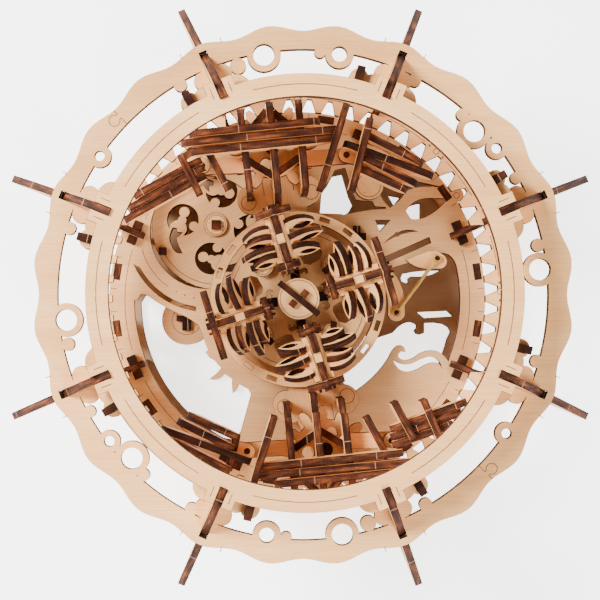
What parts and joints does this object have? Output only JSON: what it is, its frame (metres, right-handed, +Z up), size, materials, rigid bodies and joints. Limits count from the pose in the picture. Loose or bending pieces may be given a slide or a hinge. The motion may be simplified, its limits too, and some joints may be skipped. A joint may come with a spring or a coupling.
{
  "type": "mechanical wooden carousel puzzle",
  "caption": "Round mechanical wooden 3D puzzle: finned plywood frame with toothed and wavy rings around a geared rotor carrying ribbed creatures and winged figures.",
  "frame": {"origin": "centre of the base drum's underside, on the rotor's axis", "axes": "+Z up along the rotor's axis; +X towards the middle of a bay between two fins; the fins stand at 22.5 degrees and every 45 degrees on"},
  "size_m": [0.2372, 0.2372, 0.119],
  "materials": {
    "birch_plywood": "bare sanded birch plywood, satin",
    "burnt_edge_plywood": "laser-charred plywood edge, satin",
    "rubber": "matte natural rubber"
  },
  "bodies": {
    "frame": {"lower_plate": "birch_plywood", "deck_plate": "birch_plywood", "drum_walls": "burnt_edge_plywood", "deck_keys": "burnt_edge_plywood", "fin_1": "burnt_edge_plywood", "fin_2": "burnt_edge_plywood", "fin_3": "burnt_edge_plywood", "fin_4": "burnt_edge_plywood", "fin_5": "burnt_edge_plywood", "fin_6": "burnt_edge_plywood", "fin_7": "burnt_edge_plywood", "fin_8": "burnt_edge_plywood", "toothed_ring": "birch_plywood", "under_ring": "birch_plywood", "upper_ring": "birch_plywood", "hook_pegs": "burnt_edge_plywood", "peg_bands": "rubber", "wavy_ring_a": "birch_plywood", "wavy_ring_b": "birch_plywood", "spindle": "burnt_edge_plywood", "drive_pin": "burnt_edge_plywood", "idler_boss": "birch_plywood", "bearing_cap": "birch_plywood", "lever_pin": "burnt_edge_plywood", "band_hook": "birch_plywood", "rubber_band": "rubber"},
    "rotor": {"rotor_plate": "birch_plywood", "rotor_sleeve": "burnt_edge_plywood", "curl_pegs": "burnt_edge_plywood", "centre_gear": "birch_plywood", "halo_ring": "birch_plywood", "corner_caps": "birch_plywood", "hub_cap": "birch_plywood", "hub_bar": "burnt_edge_plywood", "figure_spines": "burnt_edge_plywood", "figure_crests": "burnt_edge_plywood", "wing_pins": "burnt_edge_plywood", "roller_pins": "burnt_edge_plywood", "creature_1_body": "burnt_edge_plywood", "creature_1_ribs": "burnt_edge_plywood", "creature_2_body": "burnt_edge_plywood", "creature_2_ribs": "burnt_edge_plywood", "hinge_pins": "burnt_edge_plywood"},
    "drive_wheel": {"drive_gear": "birch_plywood"},
    "lever": {"lever": "birch_plywood"},
    "roller_a": {"roller_1": "birch_plywood"},
    "roller_b": {"roller_2": "birch_plywood"},
    "head_a": {"creature_1_head": "burnt_edge_plywood"},
    "tail_a": {"creature_1_tail": "burnt_edge_plywood"},
    "head_b": {"creature_2_head": "burnt_edge_plywood"},
    "tail_b": {"creature_2_tail": "burnt_edge_plywood"},
    "wing_1_left_body": {"wing_1_left": "burnt_edge_plywood"},
    "wing_1_right_body": {"wing_1_right": "burnt_edge_plywood"},
    "wing_2_left_body": {"wing_2_left": "burnt_edge_plywood"},
    "wing_2_right_body": {"wing_2_right": "burnt_edge_plywood"},
    "wing_3_left_body": {"wing_3_left": "burnt_edge_plywood"},
    "wing_3_right_body": {"wing_3_right": "burnt_edge_plywood"},
    "wing_4_left_body": {"wing_4_left": "burnt_edge_plywood"},
    "wing_4_right_body": {"wing_4_right": "burnt_edge_plywood"}
  },
  "joints": [
    {"name": "rotor_spin", "type": "hinge", "parent": "frame", "child": "rotor", "pos_m": [0, 0, 0.03], "axis": [0, 0, 1], "continuous": true},
    {"name": "drive_spin", "type": "hinge", "parent": "frame", "child": "drive_wheel", "pos_m": [-0.036, 0.0336, 0.0145], "axis": [0, 0, 1], "continuous": true},
    {"name": "lever_swing", "type": "hinge", "parent": "frame", "child": "lever", "pos_m": [0.0375, 0.0135, 0.0268], "axis": [0, 0, 1], "range_deg": [0, 3]},
    {"name": "roller_a_spin", "type": "hinge", "parent": "rotor", "child": "roller_a", "pos_m": [-0.01125, 0.06382, 0.04675], "axis": [0, 0, 1], "continuous": true},
    {"name": "roller_b_spin", "type": "hinge", "parent": "rotor", "child": "roller_b", "pos_m": [0.01125, -0.06382, 0.04675], "axis": [0, 0, 1], "continuous": true},
    {"name": "head_a_swing", "type": "hinge", "parent": "rotor", "child": "head_a", "pos_m": [0.0195, 0.0595, 0.05535], "axis": [0, 0, 1], "range_deg": [-6, 6]},
    {"name": "tail_a_swing", "type": "hinge", "parent": "rotor", "child": "tail_a", "pos_m": [-0.0405, 0.055, 0.05535], "axis": [0, 0, 1], "range_deg": [-6, 6]},
    {"name": "head_b_swing", "type": "hinge", "parent": "rotor", "child": "head_b", "pos_m": [-0.0218, -0.0637, 0.05535], "axis": [0, 0, 1], "range_deg": [-6, 6]},
    {"name": "tail_b_swing", "type": "hinge", "parent": "rotor", "child": "tail_b", "pos_m": [0.0382, -0.0592, 0.05535], "axis": [0, 0, 1], "range_deg": [-6, 6]},
    {"name": "wing_1_left_flap", "type": "hinge", "parent": "rotor", "child": "wing_1_left_body", "pos_m": [0.02291, 0.01047, 0.0512], "axis": [0.9537, 0.3007, 0], "range_deg": [-6, 6]},
    {"name": "wing_1_right_flap", "type": "hinge", "parent": "rotor", "child": "wing_1_right_body", "pos_m": [0.02478, 0.00456, 0.0512], "axis": [0.9537, 0.3007, 0], "range_deg": [-6, 6]},
    {"name": "wing_2_left_flap", "type": "hinge", "parent": "rotor", "child": "wing_2_left_body", "pos_m": [-0.01047, 0.02291, 0.0512], "axis": [-0.3007, 0.9537, 0], "range_deg": [-6, 6]},
    {"name": "wing_2_right_flap", "type": "hinge", "parent": "rotor", "child": "wing_2_right_body", "pos_m": [-0.00456, 0.02478, 0.0512], "axis": [-0.3007, 0.9537, 0], "range_deg": [-6, 6]},
    {"name": "wing_3_left_flap", "type": "hinge", "parent": "rotor", "child": "wing_3_left_body", "pos_m": [-0.02291, -0.01047, 0.0512], "axis": [-0.9537, -0.3007, 0], "range_deg": [-6, 6]},
    {"name": "wing_3_right_flap", "type": "hinge", "parent": "rotor", "child": "wing_3_right_body", "pos_m": [-0.02478, -0.00456, 0.0512], "axis": [-0.9537, -0.3007, 0], "range_deg": [-6, 6]},
    {"name": "wing_4_left_flap", "type": "hinge", "parent": "rotor", "child": "wing_4_left_body", "pos_m": [0.01047, -0.02291, 0.0512], "axis": [0.3007, -0.9537, 0], "range_deg": [-6, 6]},
    {"name": "wing_4_right_flap", "type": "hinge", "parent": "rotor", "child": "wing_4_right_body", "pos_m": [0.00456, -0.02478, 0.0512], "axis": [0.3007, -0.9537, 0], "range_deg": [-6, 6]}
  ],
  "couplings": [
    {"joint": "drive_spin", "follows": "rotor_spin", "ratio": -0.77778},
    {"joint": "roller_a_spin", "follows": "rotor_spin", "ratio": -5},
    {"joint": "roller_b_spin", "follows": "rotor_spin", "ratio": -5},
    {"joint": "wing_1_right_flap", "follows": "wing_1_left_flap", "ratio": -1},
    {"joint": "wing_2_left_flap", "follows": "wing_1_left_flap", "ratio": 1},
    {"joint": "wing_2_right_flap", "follows": "wing_1_left_flap", "ratio": -1},
    {"joint": "wing_3_left_flap", "follows": "wing_1_left_flap", "ratio": 1},
    {"joint": "wing_3_right_flap", "follows": "wing_1_left_flap", "ratio": -1},
    {"joint": "wing_4_left_flap", "follows": "wing_1_left_flap", "ratio": 1},
    {"joint": "wing_4_right_flap", "follows": "wing_1_left_flap", "ratio": -1}
  ]
}
